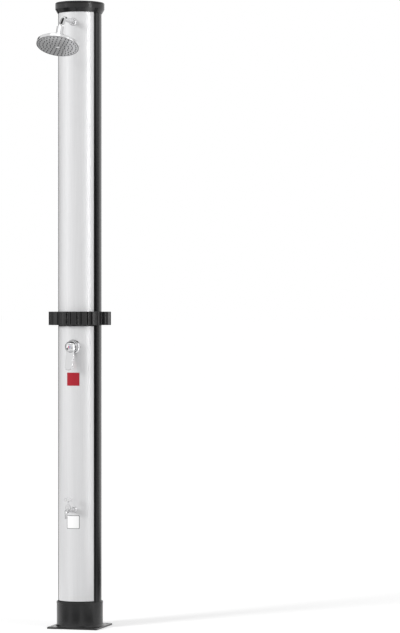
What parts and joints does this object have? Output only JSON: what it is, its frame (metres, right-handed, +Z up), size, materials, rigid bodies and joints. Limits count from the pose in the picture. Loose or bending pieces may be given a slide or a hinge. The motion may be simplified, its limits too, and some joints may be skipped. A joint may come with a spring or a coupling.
{
  "type": "outdoor shower post",
  "caption": "Free-standing outdoor shower post: column tank on a bolted square foot, tilting shower head on a bent arm, lever mixer and foot-wash tap.",
  "frame": {"origin": "centre of the foot's underside, which is the centre of its four bolt holes", "axes": "+Z up along the column, -Y towards the front where the fittings are, +X to the right of someone who stands at the back and looks to the front"},
  "size_m": [0.2156, 0.4134, 2.156],
  "materials": {
    "black_pvc": "satin extruded PVC",
    "black_moulding": "satin injection moulded",
    "anodised_aluminium": "satin anodised sheet",
    "chrome": "polished plating",
    "brass": "machined",
    "steel": "machined",
    "black_rubber": "moulded",
    "grey_plastic": "moulded ABS",
    "nozzle_rubber": "soft moulded",
    "white_plastic": "natural polymer",
    "black_plug": "moulded",
    "index_plastic": "moulded button"
  },
  "bodies": {
    "column": {"lower_tank_tube": "black_pvc", "upper_tank_tube": "black_pvc", "foot": "black_moulding", "top_cap": "black_moulding", "union_ring_nut": "black_moulding", "lower_union_collar": "black_moulding", "upper_union_collar": "black_moulding", "tank_bottom_plug": "black_moulding", "tank_top_plug": "black_moulding", "lower_front_panel": "anodised_aluminium", "upper_front_panel": "anodised_aluminium", "mixer_escutcheon": "chrome", "mixer_bonnet": "chrome", "foot_tap_body": "chrome", "foot_tap_flange": "chrome", "spout_aerator": "chrome", "shower_arm": "chrome", "arm_flange": "chrome", "mixer_body": "brass", "mixer_locknut": "brass", "foot_tap_locknut": "brass", "arm_locknut": "brass", "hose_inlet": "brass", "hose_inlet_locknut": "brass", "bottom_plug_seal": "black_rubber", "top_plug_seal": "black_rubber", "union_seal": "black_rubber", "escutcheon_gasket": "black_rubber", "foot_tap_washer": "black_rubber", "arm_washer": "black_rubber", "hose_inlet_washer": "black_rubber", "drain_washer": "black_rubber", "mixer_cartridge": "white_plastic", "cold_feed_pipe": "white_plastic", "warm_draw_pipe": "white_plastic", "shower_riser_pipe": "white_plastic", "feed_tee": "white_plastic", "foot_tap_pipe": "white_plastic", "drain_plug": "black_plug"},
    "mixer_turn": {"cartridge_rotor": "brass"},
    "lever": {"lever_stem": "brass", "lever_pivot_pin": "steel", "mixer_lever": "chrome", "lever_screw": "steel", "index_button": "index_plastic"},
    "tap_key": {"tap_spindle": "chrome", "tap_handle": "chrome", "tap_handle_screw": "chrome"},
    "ball_cup": {"ball_seat": "white_plastic"},
    "ball_ring": {"ball_seal": "black_rubber"},
    "shower_head": {"swivel_nut": "chrome", "head_shell": "chrome", "face_plate": "grey_plastic", "face_gasket": "black_rubber", "spray_nozzles": "nozzle_rubber", "filter_washer": "steel"}
  },
  "joints": [
    {"name": "mixer_temperature", "type": "hinge", "parent": "column", "child": "mixer_turn", "pos_m": [0, -0.096, 0.968], "axis": [0, -1, 0], "range_deg": [-45, 45]},
    {"name": "mixer_lift", "type": "hinge", "parent": "mixer_turn", "child": "lever", "pos_m": [0, -0.096, 0.968], "axis": [-1, 0, 0], "range_deg": [0, 20]},
    {"name": "foot_tap_turn", "type": "hinge", "parent": "column", "child": "tap_key", "pos_m": [0, -0.127, 0.44], "axis": [0, 0, 1], "range_deg": [0, 90]},
    {"name": "head_pitch", "type": "hinge", "parent": "column", "child": "ball_cup", "pos_m": [0, -0.212, 2.048], "axis": [-1, 0, 0], "range_deg": [-2, 48]},
    {"name": "head_sway", "type": "hinge", "parent": "ball_cup", "child": "ball_ring", "pos_m": [0, -0.212, 2.048], "axis": [0, 0.9205, -0.3907], "range_deg": [-10, 10]},
    {"name": "head_spin", "type": "hinge", "parent": "ball_ring", "child": "shower_head", "pos_m": [0, -0.212, 2.048], "axis": [0, -0.3907, -0.9205], "continuous": true}
  ]
}
